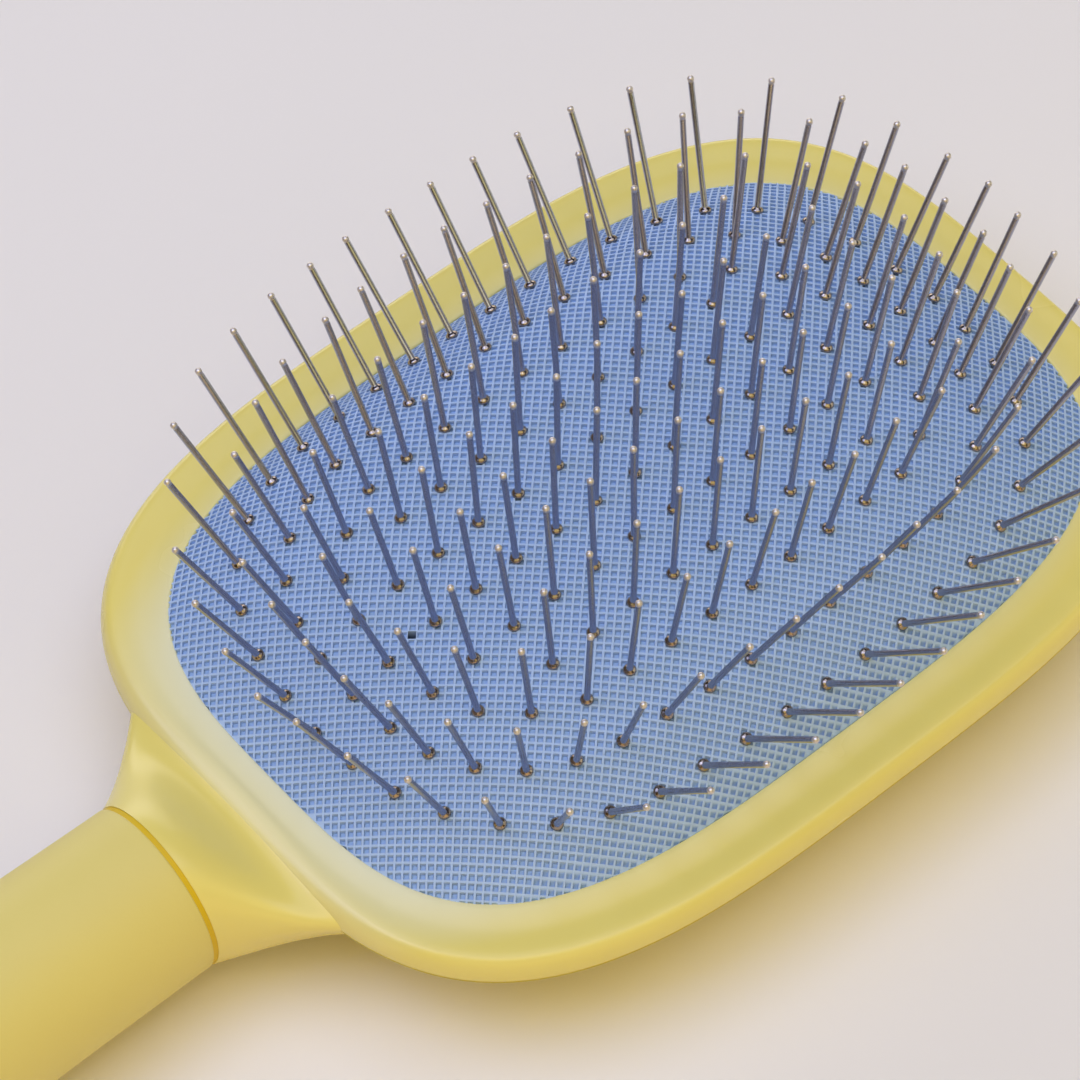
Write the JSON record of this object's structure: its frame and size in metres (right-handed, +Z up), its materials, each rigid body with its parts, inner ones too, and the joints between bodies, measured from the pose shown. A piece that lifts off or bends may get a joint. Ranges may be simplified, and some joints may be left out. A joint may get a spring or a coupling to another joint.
{
  "type": "hair grooming brush",
  "caption": "Cushioned paddle hair brush: straight metal pins in a domed rubber pad that sinks when pressed, a rounded plastic frame and back, and a round handle.",
  "frame": {"origin": "on the surface the brush lies on, under the middle of its whole length and width", "axes": "+X from the handle to the tip of the head, +Y across the head, +Z up out of the cushion, along the pins"},
  "size_m": [0.2486, 0.0962, 0.0483],
  "materials": {
    "yellow_gloss_plastic": "satin gloss, slightly translucent",
    "yellow_matte_grip": "matte soft touch",
    "deep_yellow_ring": "satin",
    "white_inner_plastic": "matte",
    "blue_cushion_rubber": "matte with a pressed square grid",
    "nickel_pin_steel": "bright nickel plate"
  },
  "bodies": {
    "brush_body": {"rim_frame": "yellow_gloss_plastic", "back_shell": "yellow_gloss_plastic", "pad_carrier": "white_inner_plastic", "cushion_skirt": "blue_cushion_rubber", "joint_ring": "deep_yellow_ring", "handle_sleeve": "yellow_matte_grip", "handle_liner": "white_inner_plastic", "end_cap": "yellow_matte_grip"},
    "middle_row": {"pin_row_middle": "blue_cushion_rubber"},
    "first_ring": {"pin_ring_1": "blue_cushion_rubber"},
    "second_ring": {"pin_ring_2": "blue_cushion_rubber"},
    "third_ring": {"pin_ring_3": "blue_cushion_rubber"},
    "fourth_ring": {"pin_ring_4": "blue_cushion_rubber"},
    "fifth_ring": {"pin_ring_5": "blue_cushion_rubber"}
  },
  "joints": [
    {"name": "cushion_press", "type": "slide", "parent": "brush_body", "child": "middle_row", "axis": [0, 0, -1], "range_m": [0, 0.0042], "stiffness_N_per_m": 2000},
    {"name": "first_ring_press", "type": "slide", "parent": "brush_body", "child": "first_ring", "axis": [0, 0, -1], "range_m": [0, 0.0042]},
    {"name": "second_ring_press", "type": "slide", "parent": "brush_body", "child": "second_ring", "axis": [0, 0, -1], "range_m": [0, 0.004]},
    {"name": "third_ring_press", "type": "slide", "parent": "brush_body", "child": "third_ring", "axis": [0, 0, -1], "range_m": [0, 0.0036]},
    {"name": "fourth_ring_press", "type": "slide", "parent": "brush_body", "child": "fourth_ring", "axis": [0, 0, -1], "range_m": [0, 0.0029]},
    {"name": "fifth_ring_press", "type": "slide", "parent": "brush_body", "child": "fifth_ring", "axis": [0, 0, -1], "range_m": [0, 0.0017]}
  ],
  "couplings": [
    {"joint": "first_ring_press", "follows": "cushion_press", "ratio": 0.976},
    {"joint": "second_ring_press", "follows": "cushion_press", "ratio": 0.934},
    {"joint": "third_ring_press", "follows": "cushion_press", "ratio": 0.836},
    {"joint": "fourth_ring_press", "follows": "cushion_press", "ratio": 0.659},
    {"joint": "fifth_ring_press", "follows": "cushion_press", "ratio": 0.383}
  ]
}
